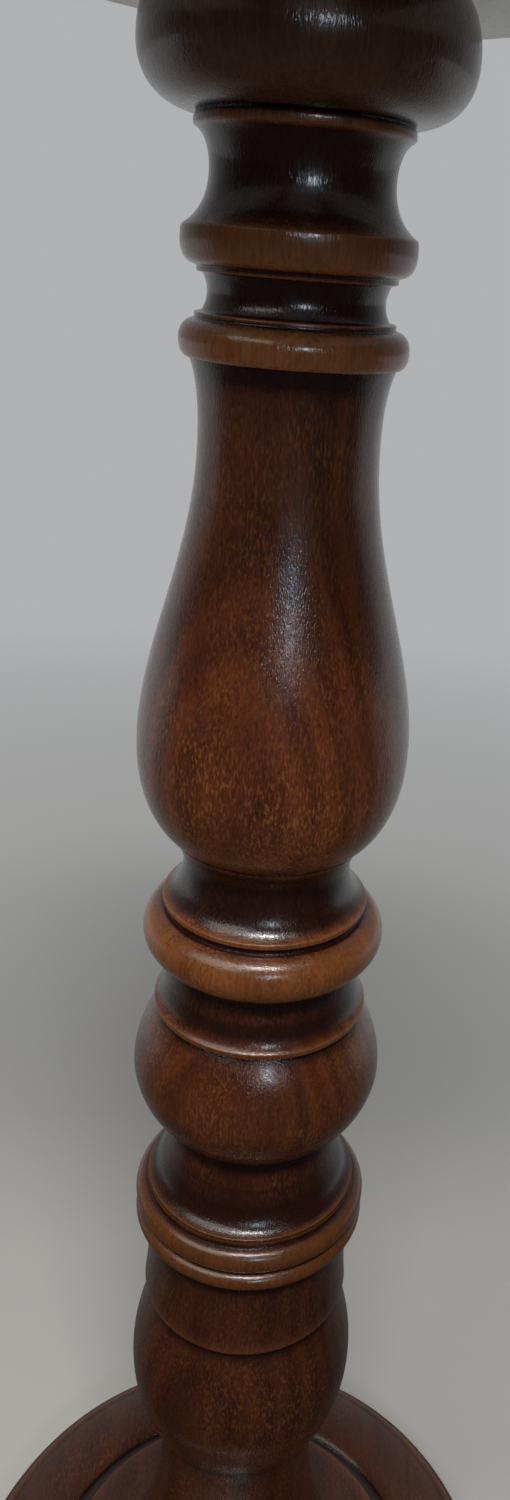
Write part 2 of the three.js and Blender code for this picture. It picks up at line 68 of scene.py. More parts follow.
BASE_TOP = 24
FOOT_TOP = 161
LOWER_BULB_TOP = 242
LOWER_COLLAR_TOP = 302
BALL_TOP = 388
MIDDLE_COLLAR_TOP = 433
VASE_TOP = 624
UPPER_COLLAR_TOP = 690
CAPITAL_TOP = 725.5
TABLE_HEIGHT = 760

BASE_RADIUS = 135.5
BASE_RIM_THICKNESS = 16
BASE_RIM_FLAT = 1
BASE_STEP_RADIUS = 87.6
BASE_HOLLOW_RADIUS = 108
BASE_HOLLOW_DEPTH = 3
BASE_SOCKET_FLOOR = 15
BASE_RECESS_TOP = 13
RECESS_RADIUS = 14.5

TENON_RADIUS = 16
TENON_LENGTH = 13
BASE_TENON_LENGTH = 8.5
SOCKET_CLEARANCE = 0.5
BORE_RADIUS = 6
ROD_RADIUS = 5
WASHER_RADIUS = 13
WASHER_THICKNESS = 1.6
NUT_THICKNESS = 6
NUT_ACROSS_CORNERS = 19.6
THREAD_PITCH = 1.5
THREAD_DEPTH = 0.4
ROD_LOWER_END = 1
RING_EDGE = 0.25

TOP_THICKNESS = 19
BLOCK_WIDTH = 60
BLOCK_REAR = 58
BLOCK_RECESS_FLOOR = 731
DOWEL_X = 24
DOWEL_RADIUS = 3
DOWEL_LENGTH = 14
PIVOT_Y = -52
PIVOT_RADIUS = 2.5
PIVOT_HOLE_RADIUS = 2.9
PIVOT_HEAD_RADIUS = 4.6
PIVOT_HEAD_THICKNESS = 2
PIVOT_DEPTH = 14
PIVOT_END_CLEARANCE = 1
PIVOT_END_CHAMFER = 0.4
PIVOT_HEAD_CHAMFER = 0.7
BEARER_WIDTH = 17
BEARER_CLEARANCE = 1
BEARER_HALF_LENGTH = 130
BEARER_HEIGHT = 13.5
BEARER_END_HEIGHT = 6
BEARER_END_TAPER = 26
BEARER_END_ROUND = 2
SCREW_PLACES = (-104, 0, 104)
SCREW_RADIUS = 2
SCREW_HEAD_RADIUS = 4
SCREW_HEAD_DEPTH = 2.6
SCREW_SINK = 3.5
SCREW_LENGTH = 18
SCREW_HEAD_CHAMFER = 0.4
SCREW_POINT = 1
SLOT_WIDTH = 0.9
SLOT_DEPTH = 0.8
SLOT_OVERRUN = 1

CATCH_FRONT = 62
CATCH_LENGTH = 36
CATCH_WIDTH = 24
CATCH_WALL = 1.5
PLATE_WIDTH = 44
PLATE_THICKNESS = 2
CATCH_SCREW_X = 17
CATCH_SCREW_LENGTH = 12
BOLT_WIDTH = 9
BOLT_HEIGHT = 6
BOLT_LENGTH = 30
BOLT_CHAMFER = 1.2
BOLT_FRONT = 62.5
BOLT_TRAVEL = 10.5
PULL_SETBACK = 20
PULL_STEM_RADIUS = 1.8
PULL_GRIP_RADIUS = 4
PULL_GRIP_HEIGHT = 6
PULL_LENGTH = 12
POCKET_DEPTH = 7.5
POCKET_CLEARANCE = 0.5
STRIKE_THICKNESS = 1.5
STRIKE_LENGTH = 34
STRIKE_HEIGHT = 11
STRIKE_SCREW_X = 12.5
STRIKE_SCREW_RADIUS = 1.4
STRIKE_SCREW_LENGTH = 11
STRIKE_HEAD_RADIUS = 2.4
STRIKE_HEAD_THICKNESS = 1
STRIKE_HEAD_RIM = 0.3
STRIKE_CROWN_RADIUS = 1.7
STRIKE_CROWN_SHARE = 0.9
STRIKE_SCREW_POINT = 1.5
STRIKE_SLOT_WIDTH = 0.6
STRIKE_SLOT_DEPTH = 0.5

# How far the edges of each kind of piece are rounded.
BLOCK_EDGE = 0.6
BEARER_EDGE = 0.8
STONE_EDGE = 0.7
SHEET_EDGE = 0.25
BRASS_EDGE = 0.3
EDGE_SEGMENTS = 3

# Angles in degrees, above which a corner is eased, shaded sharp or rounded, and below which two
# faces of the slab become one.
EASE_ANGLE = 24
SHARP_ANGLE = 34
ROUNDED_ANGLE = 32
FLAT_ANGLE = 2

# In metres: points closer than this are merged, and edges shorter than this are dropped.
MERGE_DISTANCE = 1e-6
DROP_LENGTH = 1e-7

# Relief is looked for at two scales: how far to each side, how proud counts as full, its share.
RELIEF_SCALES = ((2.5, 0.42, 0.70), (9, 1.9, 0.85))
RELIEF_SAMPLES = 13
NO_DIVIDE_BY_ZERO = 1e-9

# Worked out from the dimensions above.
TOP_UNDERSIDE = TABLE_HEIGHT - TOP_THICKNESS
BLOCK_BOTTOM = CAPITAL_TOP + GAP
BLOCK_TOP = TOP_UNDERSIDE - GAP
PIVOT_Z = (BLOCK_BOTTOM + BLOCK_TOP) / 2
BEARER_X = BLOCK_WIDTH / 2 + BEARER_CLEARANCE + BEARER_WIDTH / 2
CATCH_REAR = CATCH_FRONT + CATCH_LENGTH
CATCH_MIDDLE = CATCH_FRONT + CATCH_LENGTH / 2
PLATE_BOTTOM = BLOCK_TOP - PLATE_THICKNESS
PULL_Y = BOLT_FRONT + PULL_SETBACK

# ---------------------------------------------------------------- camera

# The camera stands close in front of the column, looks down on it and is slightly rolled.
SENSOR = 36
FOCAL_LENGTH = 27.46
LENS_SHIFT = -0.058
CAMERA_PLACE = Vector((-0.3, -374.8, 654.5)) * MM
HEADING = math.radians(3.8)
PITCH = math.radians(23.16)
ROLL = math.radians(4.52)
NEAREST_SEEN = 0.01


def make_camera():
    data = bpy.data.cameras.new("camera")
    data.sensor_width = SENSOR
    data.lens = FOCAL_LENGTH
    data.shift_x = LENS_SHIFT
    data.clip_start = NEAREST_SEEN
    camera = bpy.data.objects.new("camera", data)
    bpy.context.scene.collection.objects.link(camera)
    forward = Vector((
        math.sin(HEADING) * math.cos(PITCH), math.cos(HEADING) * math.cos(PITCH), -math.sin(PITCH)))
    level = Vector((math.cos(HEADING), -math.sin(HEADING), 0))
    down = forward.cross(level)
    right = level * math.cos(ROLL) - down * math.sin(ROLL)
    up = -(level * math.sin(ROLL) + down * math.cos(ROLL))
    turn = Matrix((right, up, -forward)).transposed().to_4x4()
    camera.matrix_world = Matrix.Translation(CAMERA_PLACE) @ turn
    bpy.context.scene.camera = camera


# ---------------------------------------------------------------- floor and light

FLOOR_HALF_WIDTH = 20
FLOOR_FADE = (0.3, 1.7)
FLOOR_MIRROR_DEPTH = (0.0, 0.7)
FLOOR_MIRROR_GLOW = (0.02, 0.48)
WORLD_DEPTH = (0.0, 0.9)
WORLD_GLOW = (0.012, 0.38)
BACKDROP_COLOR = (0.96, 0.98, 1, 1)
BACKDROP_GLOW = 0.45
LIGHT_TARGET = Vector((0, 0, 0.5))


def make_floor():
    mesh = bpy.data.meshes.new("floor")
    s = FLOOR_HALF_WIDTH
    mesh.from_pydata([(-s, -s, 0), (s, -s, 0), (s, s, 0), (-s, s, 0)], [], [(0, 1, 2, 3)])
    floor = bpy.data.objects.new("floor", mesh)
    bpy.context.scene.collection.objects.link(floor)
    mesh.materials.append(plain_floor())


# A soft box that shines on the column. Azimuth is counted from the front towards the right, and both
# angles are in degrees.
def make_light(name, azimuth, elevation, distance, size, power, color):
    a = math.radians(azimuth)
    e = math.radians(elevation)
    way = Vector((math.sin(a) * math.cos(e), -math.cos(a) * math.cos(e), math.sin(e)))
    data = bpy.data.lights.new(name, "AREA")
    data.shape = "RECTANGLE"
    data.size, data.size_y = size
    data.energy = power
    data.color = color
    light = bpy.data.objects.new(name, data)
    bpy.context.scene.collection.objects.link(light)
    light.location = LIGHT_TARGET + way * distance
    light.rotation_euler = way.to_track_quat("Z", "Y").to_euler()


# Pale to look at, but dimmer in front than behind for what it throws on the object.
def make_world():
    world = bpy.data.worlds.new("studio")
    bpy.context.scene.world = world
    world.use_nodes = True
    graph = Graph(world.node_tree)
    graph.clear()
    way = graph.add("ShaderNodeTexCoord").outputs["Generated"]
    depth = graph.add("ShaderNodeSeparateXYZ", Vector=way).outputs["Y"]
    glow = graph.range(depth, *WORLD_DEPTH, *WORLD_GLOW)
    seen = graph.add("ShaderNodeLightPath").outputs["Is Camera Ray"]
    strength = graph.add("ShaderNodeMix", Factor=seen, A=glow, B=BACKDROP_GLOW).outputs["Result"]
    shade = graph.add("ShaderNodeBackground", Color=BACKDROP_COLOR, Strength=strength)
    graph.add("ShaderNodeOutputWorld", Surface=shade.outputs["Background"])


def make_lights():
    make_light(
        "window", azimuth=11, elevation=19, distance=2.6, size=(0.42, 0.42), power=9,
        color=(0.74, 0.87, 1.0))
    make_light(
        "ceiling", azimuth=2, elevation=57, distance=2.2, size=(0.85, 0.26), power=34,
        color=(1.0, 0.97, 0.92))
    make_light(
        "room", azimuth=-48, elevation=46, distance=2.6, size=(2.0, 1.4), power=26,
        color=(1.0, 0.94, 0.86))


# ---------------------------------------------------------------- node graphs

# Where the color inputs and the color output of a mix node stand among all its sockets.
MIX_COLOR_A = 6
MIX_COLOR_B = 7
MIX_COLOR_RESULT = 2


class Graph:
    """Adds shader nodes and joins them up."""

    def __init__(self, tree):
        self.tree = tree

    def clear(self):
        self.tree.nodes.clear()

    # Gives an input a fixed value, or joins it to another node's output.
    def feed(self, socket, value):
        if isinstance(value, bpy.types.NodeSocket):
            self.tree.links.new(value, socket)
        else:
            socket.default_value = value

    # Settings in lower case set the node itself; the others feed the inputs that they name.
    def add(self, kind, **settings):
        node = self.tree.nodes.new(kind)
        for key, value in settings.items():
            if key[0].islower():
                setattr(node, key, value)
        for key, value in settings.items():
            if not key[0].islower():
                socket = next(s for s in node.inputs if s.name == key and s.enabled)
                self.feed(socket, value)
        return node

    def math(self, operation, a, b=0.0):
        node = self.tree.nodes.new("ShaderNodeMath")
        node.operation = operation
        self.feed(node.inputs[0], a)
        self.feed(node.inputs[1], b)
        return node.outputs[0]

    # Adds up values, each times its share.
    def total(self, *parts):
        result = None
        for value, share in parts:
            scaled = self.math("MULTIPLY", value, share)
            result = scaled if result is None else self.math("ADD", result, scaled)
        return result

    def mix(self, factor, a, b):
        node = self.tree.nodes.new("ShaderNodeMix")
        node.data_type = "RGBA"
        self.feed(node.inputs[0], factor)
        self.feed(node.inputs[MIX_COLOR_A], a)
        self.feed(node.inputs[MIX_COLOR_B], b)
        return node.outputs[MIX_COLOR_RESULT]

    # Lays another color over a color, where a mask is high.
    def overlay(self, color, mask, strength, other):
        return self.mix(self.math("MULTIPLY", mask, strength), color, other)

    # Noise over the object, with its own number of lumps per metre along each axis.
    def grain(self, place, per_metre, detail=2.0, distortion=0.0):
        scaled = self.add("ShaderNodeMapping", Vector=place, Scale=per_metre).outputs["Vector"]
        return self.add(
            "ShaderNodeTexNoise", Vector=scaled, Scale=1.0, Detail=detail, Distortion=distortion,
        ).outputs["Fac"]

    # Straightens a value from one range on to another, held at its ends.
    def range(self, value, low, high, to_low=0.0, to_high=1.0):
        return self.add("ShaderNodeMapRange", Value=value, **{
            "From Min": low, "From Max": high, "To Min": to_low, "To Max": to_high}).outputs["Result"]


def new_material(name):
    material = bpy.data.materials.new(name)
    material.use_nodes = True
    graph = Graph(material.node_tree)
    graph.clear()
    return material, graph


# Bump is the depth, in millimetres, of the bumps that a height of 1 stands for.
def close_material(graph, height, bump, **surface):
    normal = graph.add(
        "ShaderNodeBump", Height=height, Distance=bump * MM, Strength=1.0).outputs["Normal"]
    shader = graph.add("ShaderNodeBsdfPrincipled", Normal=normal, **surface)
    graph.add("ShaderNodeOutputMaterial", Surface=shader.outputs["BSDF"])
    return shader, normal


# ---------------------------------------------------------------- materials

def plain_floor():
    material, graph = new_material("plain_floor")
    place = graph.add("ShaderNodeTexCoord").outputs["Object"]
    mottle = graph.grain(place, (3, 3, 3), detail=4)
    color = graph.mix(mottle, (0.50, 0.50, 0.49, 1), (0.56, 0.56, 0.55, 1))

    # In the varnish's reflections the floor is dim in front and pale behind.
    mirrored = graph.add("ShaderNodeLightPath").outputs["Is Glossy Ray"]
    depth = graph.add("ShaderNodeSeparateXYZ", Vector=place).outputs["Y"]
    mirrored_light = graph.range(depth, *FLOOR_MIRROR_DEPTH, *FLOOR_MIRROR_GLOW)
    color = graph.mix(mirrored, color, mirrored_light)
    matt = graph.add("ShaderNodeBsdfDiffuse", Color=color).outputs["BSDF"]

    # Far away the floor glows like the backdrop, so that no horizon shows.
    far = graph.add("ShaderNodeVectorMath", operation="LENGTH", Vector=place).outputs["Value"]
    far = graph.range(far, *FLOOR_FADE)
    glow = graph.add("ShaderNodeMix", Factor=mirrored, A=BACKDROP_GLOW, B=mirrored_light).outputs["Result"]
    haze = graph.add("ShaderNodeEmission", Color=BACKDROP_COLOR, Strength=glow).outputs["Emission"]
    blend = graph.tree.nodes.new("ShaderNodeMixShader")
    for socket, value in zip(blend.inputs, (far, matt, haze)):
        graph.feed(socket, value)
    graph.add("ShaderNodeOutputMaterial", Surface=blend.outputs[0])
    return material


# Turns the object's place so that the grain, which the nodes run along Z, runs along another axis.
GRAIN_TURNS = {
    "Z": (0, 0, 0),
    "Y": (math.pi / 2, 0, 0),
    "X": (0, math.pi / 2, 0),
}


# Lumps per metre of the wood's noises. The last of the three numbers is along the grain.
WANDER_LUMPS = (11, 11, 3.2)
BLOTCH_LUMPS = (16, 16, 7)
STREAK_LUMPS = (95, 95, 5)
FIBRE_LUMPS = (900, 900, 90)
PORE_LUMPS = (2300, 2300, 420)
FLECK_LUMPS = (1250, 1250, 400)
DRIFT_LUMPS = (30, 30, 16)
RIPPLE_LUMPS = (150, 150, 60)

# Growth layers per metre along Y and along X, how many of them the noise shifts them by, and the angle
# of one whole layer.
LAYERS_ALONG_Y = 105
LAYERS_ALONG_X = 38
LAYER_WANDER = 4.5
LAYER_TURN = 6.283

# How far the darker stretches go, and the share of the body colour they darken to; the upper one is painted
# shade.
DARK_STRETCH_STRENGTH = 0.52
DARK_STRETCH_TONE = 0.45
WOOD_BUMP = 0.055
STONE_BUMP = 0.05
METAL_BUMP = 0.02


# Growth layers stand across the view, so they show as arches where the wood bulges.
def growth_layers(graph, place):
    axes = graph.add("ShaderNodeSeparateXYZ", Vector=place).outputs
    wander = graph.grain(place, WANDER_LUMPS, detail=3)
    layers = graph.total((axes["Y"], LAYERS_ALONG_Y), (axes["X"], LAYERS_ALONG_X), (wander, LAYER_WANDER))
    return graph.range(graph.math("SINE", graph.math("MULTIPLY", layers, LAYER_TURN)), -1, 1)


# Golden flecks where the surface is open-grained, in drifts.
def flecked(graph, place, color, golden_tone):
    flecks = graph.range(graph.grain(place, FLECK_LUMPS, detail=1), 0.52, 0.66)
    drifts = graph.range(graph.grain(place, DRIFT_LUMPS, detail=2), 0.36, 0.62)
    flecks = graph.math("MULTIPLY", flecks, graph.math("MULTIPLY", drifts, 0.62))
    return graph.mix(flecks, color, golden_tone)


# Relief is 1 on proud edges, which are made golden: wear, with a painted highlight.
# Relief -1 is in hollows, which are darkened: dark stain, with painted shade.
def wear_stain_and_painted_light(graph, color, blotches, fibres, golden_tone, dark):
    relief = graph.add("ShaderNodeAttribute", attribute_name="relief").outputs["Fac"]
    patchy = graph.range(blotches, 0.30, 0.62, 0.35, 1.0)
    # Where edges stand proud they turn golden: wear, with a painted highlight.
    rub_and_highlight = graph.math("MULTIPLY", graph.range(relief, 0.10, 0.95), patchy)
    rub_and_highlight = graph.math("MULTIPLY", rub_and_highlight, graph.range(fibres, 0.30, 0.60, 0.55, 1.0))
    color = graph.overlay(color, rub_and_highlight, 0.85, golden_tone)
    # Hollows are darkened: dark stain, with painted shade.
    return graph.overlay(color, graph.range(relief, -0.03, -0.36), 0.90, dark)


# Varnished hardwood. The darker stretches are spans of the height, in metres, that darken from the first
# figure to the second.
def make_wood(name, grain_axis, body, light, dark, golden_tone, darker_stretches=()):
    material, graph = new_material(name)
    place = graph.add("ShaderNodeTexCoord").outputs["Object"]
    height = graph.add("ShaderNodeSeparateXYZ", Vector=place).outputs["Z"]
    turned = graph.add("ShaderNodeMapping", Vector=place, Rotation=GRAIN_TURNS[grain_axis])
    place = turned.outputs["Vector"]

    layers = growth_layers(graph, place)
    blotches = graph.grain(place, BLOTCH_LUMPS, detail=3)
    streaks = graph.grain(place, STREAK_LUMPS, detail=3, distortion=0.4)
    fibres = graph.grain(place, FIBRE_LUMPS, detail=3)
    pores = graph.range(graph.grain(place, PORE_LUMPS, detail=1), 0.46, 0.66)

    figure = graph.total((layers, 0.25), (blotches, 0.62), (streaks, 0.52), (fibres, 0.40))
    color = graph.mix(graph.range(figure, 0.56, 1.20), body, light)
    color = graph.overlay(color, graph.range(streaks, 0.52, 0.72), 0.55, dark)
    color = graph.overlay(color, pores, 0.55, dark)
    color = flecked(graph, place, color, golden_tone)
    color = wear_stain_and_painted_light(graph, color, blotches, fibres, golden_tone, dark)
    # Under the top this darkening is painted shade; lower down the wood is just made darker.
    for low, high in darker_stretches:
        depth = graph.range(height, low, high, 0.0, DARK_STRETCH_STRENGTH)
        color = graph.mix(depth, color, tuple(DARK_STRETCH_TONE * part for part in body[:3]) + (1,))

    roughness = graph.range(fibres, 0.30, 0.70, 0.20, 0.30)
    roughness = graph.math("ADD", roughness, graph.math("MULTIPLY", pores, 0.08))
    ripples = graph.grain(place, RIPPLE_LUMPS)
    bumps = graph.total((fibres, 0.55), (pores, -0.45), (ripples, 0.8))
    shader, normal = close_material(graph, bumps, WOOD_BUMP, **{
        "Base Color": color, "Roughness": roughness, "Coat Weight": 0.5, "Coat Roughness": 0.08,
        "Specular IOR Level": 0.36})
    graph.tree.links.new(normal, shader.inputs["Coat Normal"])
    return material


def make_stone():
    material, graph = new_material("stone")
    place = graph.add("ShaderNodeTexCoord").outputs["Object"]
    clouds = graph.grain(place, (9, 14, 9), detail=5, distortion=0.8)
    veins = graph.grain(place, (34, 8, 34), detail=5, distortion=1.4)
    grit = graph.grain(place, (700, 700, 700), detail=2)
    pits = graph.range(graph.grain(place, (240, 240, 240), detail=2), 0.68, 0.74)
    color = graph.mix(clouds, (0.45, 0.45, 0.445, 1), (0.63, 0.627, 0.617, 1))
    color = graph.overlay(color, graph.range(veins, 0.55, 0.70), 0.45, (0.26, 0.26, 0.255, 1))
    color = graph.overlay(color, graph.range(grit, 0.55, 0.75), 0.25, (0.30, 0.30, 0.29, 1))
    color = graph.overlay(color, pits, 0.6, (0.16, 0.155, 0.15, 1))
    roughness = graph.range(clouds, 0.3, 0.7, 0.42, 0.58)
    height = graph.math("SUBTRACT", graph.math("MULTIPLY", grit, 0.4), pits)
    close_material(graph, height, STONE_BUMP, **{"Base Color": color, "Roughness": roughness})
    return material


def make_metal(name, clean, aged, roughness):
    material, graph = new_material(name)
    place = graph.add("ShaderNodeTexCoord").outputs["Object"]
    clouds = graph.grain(place, (90, 90, 90), detail=4)
    scratches = graph.grain(place, (2600, 160, 900), detail=2)
    color = graph.mix(graph.range(clouds, 0.35, 0.68), clean, aged)
    roughness = graph.range(scratches, 0.3, 0.7, *roughness)
    close_material(graph, scratches, METAL_BUMP, **{
        "Base Color": color, "Roughness": roughness, "Metallic": 1.0})
    return material


MATERIALS = {
    "column_wood": make_wood(
        "column_wood", "Z",
        body=(0.036, 0.0076, 0.0036, 1), light=(0.148, 0.037, 0.0112, 1),
        dark=(0.0090, 0.0027, 0.0020, 1), golden_tone=(0.235, 0.084, 0.022, 1),
        # Darker from 0.425 m down to 0.33 m, and from 0.636 m up to 0.662 m, where it is painted shade
        # under the top.
        darker_stretches=((0.425, 0.330), (0.636, 0.662))),
    # The capital's wood is the column's wood painted darker: painted shade under the top, with a dark
    # painted reflection.
    "capital_wood": make_wood(
        "capital_wood", "Z",
        body=(0.013, 0.0042, 0.0028, 1), light=(0.044, 0.0165, 0.0078, 1),
        dark=(0.005, 0.0022, 0.0019, 1), golden_tone=(0.070, 0.029, 0.0125, 1)),
    "base_wood": make_wood(
        "base_wood", "Y",
        body=(0.030, 0.0072, 0.0036, 1), light=(0.086, 0.023, 0.0092, 1),
        dark=(0.008, 0.0028, 0.0022, 1), golden_tone=(0.13, 0.046, 0.019, 1)),
    "stone": make_stone(),
    "brass": make_metal(
        "brass", clean=(0.62, 0.42, 0.16, 1), aged=(0.30, 0.20, 0.09, 1), roughness=(0.24, 0.42)),
    "steel": make_metal(
        "steel", clean=(0.56, 0.56, 0.57, 1), aged=(0.36, 0.35, 0.34, 1), roughness=(0.22, 0.40)),
}

# ---------------------------------------------------------------- mesh helpers


class Outline:
    """The (radius, height) points up the outside of a turned piece."""

    def __init__(self, radius, height):
        self.points = [(radius, height)]

    def line(self, radius, height):
        self.points.append((radius, height))
        return self

    # A Bezier curve on from the last point: two points make it quadratic, three make it cubic.
    def curve(self, *handles):
        control = np.array([self.points[-1], *handles], float)
        length = np.linalg.norm(np.diff(control, axis=0), axis=1).sum()
        steps = max(FEWEST_CURVE_STEPS, round(length / CURVE_STEP))
        for step in range(1, steps + 1):
            t = step / steps
            left = control
            while len(left) > 1:
                left = left[:-1] * (1 - t) + left[1:] * t
            self.points.append(tuple(left[0]))
        return self

    # A half-round bead from one height up to another.
    def bead(self, radius, bulge, low, high):
        middle = (low + high) / 2
        half = (high - low) / 2
        steps = max(FEWEST_BEAD_STEPS, round(math.pi * half / CURVE_STEP))
        for step in range(steps + 1):
            angle = math.pi * (step / steps - 0.5)
            self.line(radius + bulge * math.cos(angle), middle + half * math.sin(angle))
        return self


# Rounds the sharp corners of an outline a little.
def eased(points):
    straight = math.cos(math.radians(EASE_ANGLE))
    result = [points[0]]
    for before, here, after in zip(points, points[1:], points[2:]):
        a = np.subtract(here, before)
        b = np.subtract(after, here)
        length_a = np.linalg.norm(a)
        length_b = np.linalg.norm(b)
        if min(length_a, length_b) < TINY_LENGTH:
            continue
        if np.dot(a, b) / (length_a * length_b) > straight:
            result.append(here)
            continue
        start = np.subtract(here, a / length_a * min(CORNER_EASE, length_a * CORNER_EASE_SHARE))
        end = np.add(here, b / length_b * min(CORNER_EASE, length_b * CORNER_EASE_SHARE))
        for t in (0, 0.33, 0.67, 1):
            result.append(tuple(start * (1 - t) ** 2 + np.multiply(here, 2 * t * (1 - t)) + end * t ** 2))
    return result + [points[-1]]


# Adds points along the long straight stretches.
def filled(points):
    result = [points[0]]
    for here, after in zip(points, points[1:]):
        count = max(1, math.ceil(np.linalg.norm(np.subtract(after, here)) / LONGEST_STRAIGHT))
        for step in range(1, count + 1):
            result.append(tuple(np.add(here, np.subtract(after, here) * step / count)))
    return result


# How proud (up to 1) or how sunk (down to -1) each point of an outline is against its surroundings.
def relief_of(points):
    p = np.array(points, float)
    run = np.concatenate([[0], np.cumsum(np.linalg.norm(np.diff(p, axis=0), axis=1))])
    slope = np.gradient(p, axis=0)
    slope /= np.linalg.norm(slope, axis=1)[:, None] + NO_DIVIDE_BY_ZERO
    outward = np.stack([slope[:, 1], -slope[:, 0]], axis=1)
    total = np.zeros(len(p))
    for reach, full, share in RELIEF_SCALES:
        offsets = np.linspace(-reach, reach, RELIEF_SAMPLES)
        at = np.clip(run[:, None] + offsets, 0, run[-1])
        mean = np.stack([np.interp(at, run, p[:, k]).mean(axis=1) for k in (0, 1)], axis=1)
        total += share * np.clip(((p - mean) * outward).sum(axis=1) / full, -1, 1)
    return np.clip(total, -1, 1)


# Spins a closed outline about Z. Only its first points, the outside, are given relief and wobble.
# The inside is marked as the deepest hollow, which the wood darkens with painted shade.
def turned_mesh(name, points, segments, outside=0, relief=()):
    mesh = bpy.data.meshes.new(name)
    count = len(points)
    places = []
    values = []
    for step in range(segments):
        angle = 2 * math.pi * step / segments
        way = Vector((math.cos(angle), math.sin(angle), 0))
        for index, (radius, height) in enumerate(points):
            if index < outside:
                spot = way * WOBBLE_LUMPS + Vector((0, 0, height / WOBBLE_HEIGHT))
                radius += TURNING_WOBBLE * noise.noise(spot)
            places.append((way.x * radius * MM, way.y * radius * MM, height * MM))
            values.append(relief[index] if index < outside else -1.0)
    faces = []
    for step in range(segments):
        here = step * count
        there = (step + 1) % segments * count
        for index in range(count):
            after = (index + 1) % count
            faces.append((here + index, there + index, there + after, here + after))
    mesh.from_pydata(places, [], faces)
    if outside:
        attribute = mesh.attributes.new("relief", "FLOAT", "POINT")
        attribute.data.foreach_set("value", values)
    return closed(mesh)


# Merges doubled points, drops faces with no area and turns the faces outward.
def closed(mesh):
    work = bmesh.new()
    work.from_mesh(mesh)
    bmesh.ops.remove_doubles(work, verts=work.verts, dist=MERGE_DISTANCE)
    bmesh.ops.dissolve_degenerate(work, dist=DROP_LENGTH, edges=work.edges)
    bmesh.ops.recalc_face_normals(work, faces=work.faces)
    work.to_mesh(mesh)
    work.free()
    return mesh


# An object that isn't tied to a body yet.
def loose(name, mesh):
    piece = bpy.data.objects.new(name, mesh)
    bpy.context.scene.collection.objects.link(piece)
    return piece


# A prism whose outline, in (Y, Z), runs along X.
def prism(name, outline, left, right):
    count = len(outline)
    places = [(x * MM, y * MM, z * MM) for x in (left, right) for y, z in outline]
    faces = [tuple(range(count)), tuple(range(2 * count - 1, count - 1, -1))]
    for index in range(count):
        after = (index + 1) % count
        faces.append((index, count + index, count + after, after))
    mesh = bpy.data.meshes.new(name)
    mesh.from_pydata(places, [], faces)
    return loose(name, closed(mesh))


# A square-cornered box, from its two limits along each axis.
def block(name, x, y, z):
    outline = [(y[0], z[0]), (y[1], z[0]), (y[1], z[1]), (y[0], z[1])]
    return prism(name, outline, *x)


# A round bar. Axis is the index of the axis that it runs along; at is its place on the other two.
def bar(name, axis, radius, low, high, at):
    points = [(0, low), (radius, low), (radius, high), (0, high)]
    mesh = turned_mesh(name, points, SMALL_SEGMENTS)
    turn(mesh, axis)
    others = [k for k in range(3) if k != axis]
    shift = Vector((0, 0, 0))
    shift[others[0]] = at[0] * MM
    shift[others[1]] = at[1] * MM
    mesh.transform(Matrix.Translation(shift))
    return loose(name, mesh)


# Turns a mesh made along Z so that it runs along another axis.
def turn(mesh, axis):
    if axis == 0:
        mesh.transform(Matrix.Rotation(math.pi / 2, 4, "Y"))
    elif axis == 1:
        mesh.transform(Matrix.Rotation(-math.pi / 2, 4, "X"))


# Replaces a piece's mesh by what its modifiers make of it.
def apply_modifiers(piece):
    graph = bpy.context.evaluated_depsgraph_get()
    mesh = bpy.data.meshes.new_from_object(piece.evaluated_get(graph))
    piece.modifiers.clear()
    piece.data = mesh


# Takes the cutters out of a piece and deletes them.
def subtract(piece, cutters):
    for cutter in cutters:
        modifier = piece.modifiers.new("cut", "BOOLEAN")
        modifier.operation = "DIFFERENCE"
        modifier.solver = "EXACT"
        modifier.object = cutter
    apply_modifiers(piece)
    for cutter in cutters:
        bpy.data.objects.remove(cutter)
    return piece


def smooth(mesh):
    mesh.polygons.foreach_set("use_smooth", [True] * len(mesh.polygons))
    mesh.set_sharp_from_angle(angle=math.radians(SHARP_ANGLE))


# Rounds a piece's edges, and keeps its broad faces flat to the eye.
def soften(piece, width):
    modifier = piece.modifiers.new("edges", "BEVEL")
    modifier.width = width * MM
    modifier.segments = EDGE_SEGMENTS
    modifier.limit_method = "ANGLE"
    modifier.angle_limit = math.radians(ROUNDED_ANGLE)
    modifier.use_clamp_overlap = True
    apply_modifiers(piece)
    smooth(piece.data)
    modifier = piece.modifiers.new("flats", "WEIGHTED_NORMAL")
    modifier.keep_sharp = True
    apply_modifiers(piece)
    return piece


# Gives a finished piece the material of its slot, ties it to its body and hides the imported nodes that it
# stands for. A softened piece has its shading already.
def place(piece, slot, body, *nodes):
    mesh = piece.data
    mesh.materials.clear()
    mesh.materials.append(MATERIALS[slot])
    if not mesh.has_custom_normals:
        smooth(mesh)
    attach(piece, body)
    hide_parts(*nodes)
    return piece


# ---------------------------------------------------------------- turned pedestal

# Points and their relief run up the outside; inside runs back down to where they start.
def turned_piece(node, slot, points, relief, inside):
    mesh = turned_mesh(node, points + inside, TURNED_SEGMENTS, len(points), relief)
    place(loose(node + "_turned", mesh), slot, "pedestal", node)


# The inner side of a column piece: a socket above, the bore, and a tenon below.
def joint_points(low, high, tenon_length):
    socket = TENON_RADIUS + SOCKET_CLEARANCE
    floor = high - TENON_LENGTH - SOCKET_CLEARANCE
    return [
        (socket, high), (socket, floor), (BORE_RADIUS, floor), (BORE_RADIUS, low - tenon_length),
        (TENON_RADIUS, low - tenon_length), (TENON_RADIUS, low)]


